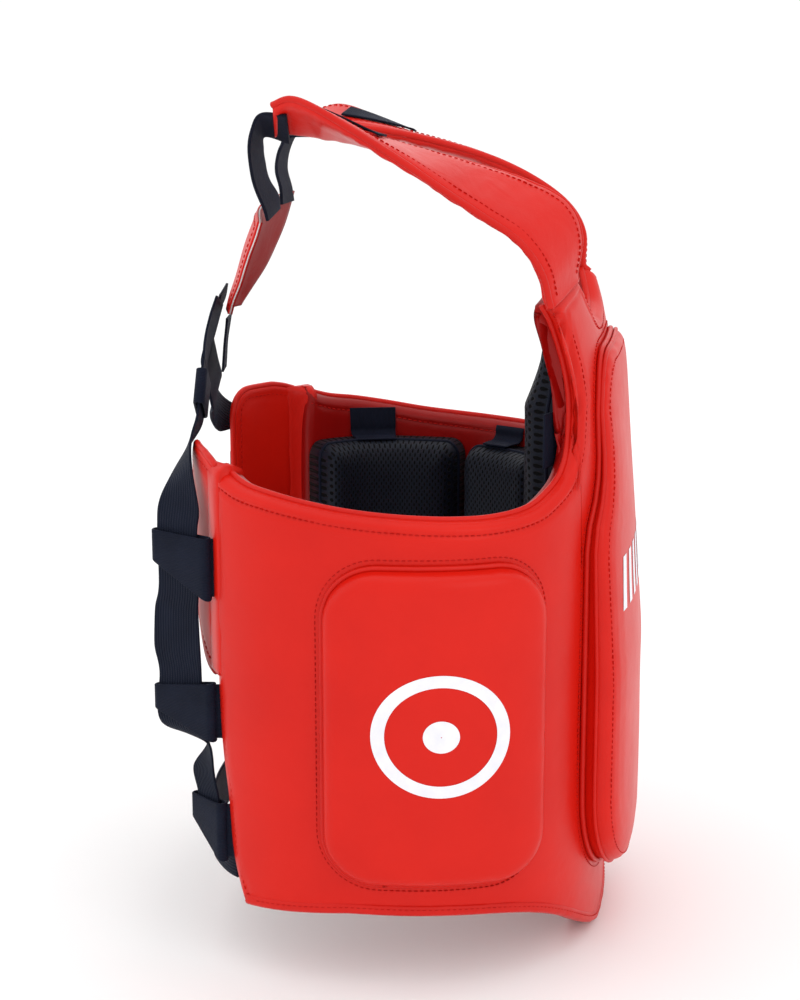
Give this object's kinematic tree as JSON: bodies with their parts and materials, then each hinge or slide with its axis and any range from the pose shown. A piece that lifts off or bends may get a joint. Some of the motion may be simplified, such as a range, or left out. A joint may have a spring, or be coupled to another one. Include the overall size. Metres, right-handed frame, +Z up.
{
  "type": "boxing trainer's body protector",
  "caption": "Padded wrap-round boxing trainer's body protector with chest and side pads, shoulder straps and a webbing back harness.",
  "frame": {"origin": "centre of the footprint, at the level of the belly hem's lowest edge", "axes": "+Z up, wearer faces -Y, +X is the wearer's left"},
  "size_m": [0.4108, 0.356, 0.6482],
  "materials": {
    "red_leather": "semi-gloss coated synthetic leather",
    "lining": "semi-gloss coated synthetic leather lining",
    "foam": "closed-cell foam",
    "white_print": "printed film",
    "webbing": "ribbed polyester webbing",
    "elastic": "woven elastic tape",
    "hook_and_loop": "hook-and-loop tape",
    "air_mesh": "spacer mesh over foam"
  },
  "bodies": {
    "shell": {"hem_band": "red_leather", "outer_skin": "red_leather", "foam_core": "foam", "lining": "lining", "rim_binding": "red_leather", "front_pad_foam": "foam", "front_pad_cover": "red_leather", "front_pad_piping": "red_leather", "front_pad_print": "white_print", "right_side_pad_foam": "foam", "right_side_pad_cover": "red_leather", "right_side_pad_piping": "red_leather", "right_side_pad_print": "white_print", "left_side_pad_foam": "foam", "left_side_pad_cover": "red_leather", "left_side_pad_piping": "red_leather", "left_side_pad_print": "white_print", "right_upper_loop": "elastic", "right_middle_loop": "elastic", "right_lower_loop": "elastic", "left_upper_loop": "elastic", "left_middle_loop": "elastic", "left_lower_loop": "elastic", "right_back_webbing": "webbing", "left_back_webbing": "webbing", "lower_back_webbing": "webbing", "centre_cushion": "air_mesh", "right_front_cushion": "air_mesh", "left_front_cushion": "air_mesh", "right_side_cushion": "air_mesh", "left_side_cushion": "air_mesh", "right_rear_elastic": "elastic", "right_front_elastic": "elastic", "left_rear_elastic": "elastic", "left_front_elastic": "elastic", "right_centre_elastic": "elastic", "left_centre_elastic": "elastic"},
    "yoke": {"right_shoulder_strap": "red_leather", "right_strap_piping": "red_leather", "right_hook_patch": "hook_and_loop", "left_shoulder_strap": "red_leather", "left_strap_piping": "red_leather", "left_hook_patch": "hook_and_loop", "right_yoke_band": "hook_and_loop", "left_yoke_band": "hook_and_loop", "back_patch": "red_leather", "back_patch_lining": "lining", "right_harness_webbing": "webbing", "left_harness_webbing": "webbing", "harness_tail": "webbing"},
    "right_wing_flap": {"right_wing": "red_leather", "right_wing_binding": "red_leather"},
    "left_wing_flap": {"left_wing": "red_leather", "left_wing_binding": "red_leather"},
    "right_slider": {"right_keeper": "webbing"}
  },
  "joints": [
    {"name": "yoke_lift", "type": "hinge", "parent": "shell", "child": "yoke", "pos_m": [0, -0.127, 0.511], "axis": [1, 0, 0], "range_deg": [-2, 8]},
    {"name": "right_wing_fold", "type": "hinge", "parent": "shell", "child": "right_wing_flap", "pos_m": [-0.1402, 0.1244, 0.3], "axis": [0, 0, -1], "range_deg": [0, 30]},
    {"name": "left_wing_fold", "type": "hinge", "parent": "shell", "child": "left_wing_flap", "pos_m": [0.1402, 0.1244, 0.3], "axis": [0, 0, 1], "range_deg": [0, 30]},
    {"name": "right_keeper_slide", "type": "slide", "parent": "shell", "child": "right_slider", "axis": [0.4695, 0, 0.8829], "range_m": [-0.005, 0.005]}
  ]
}
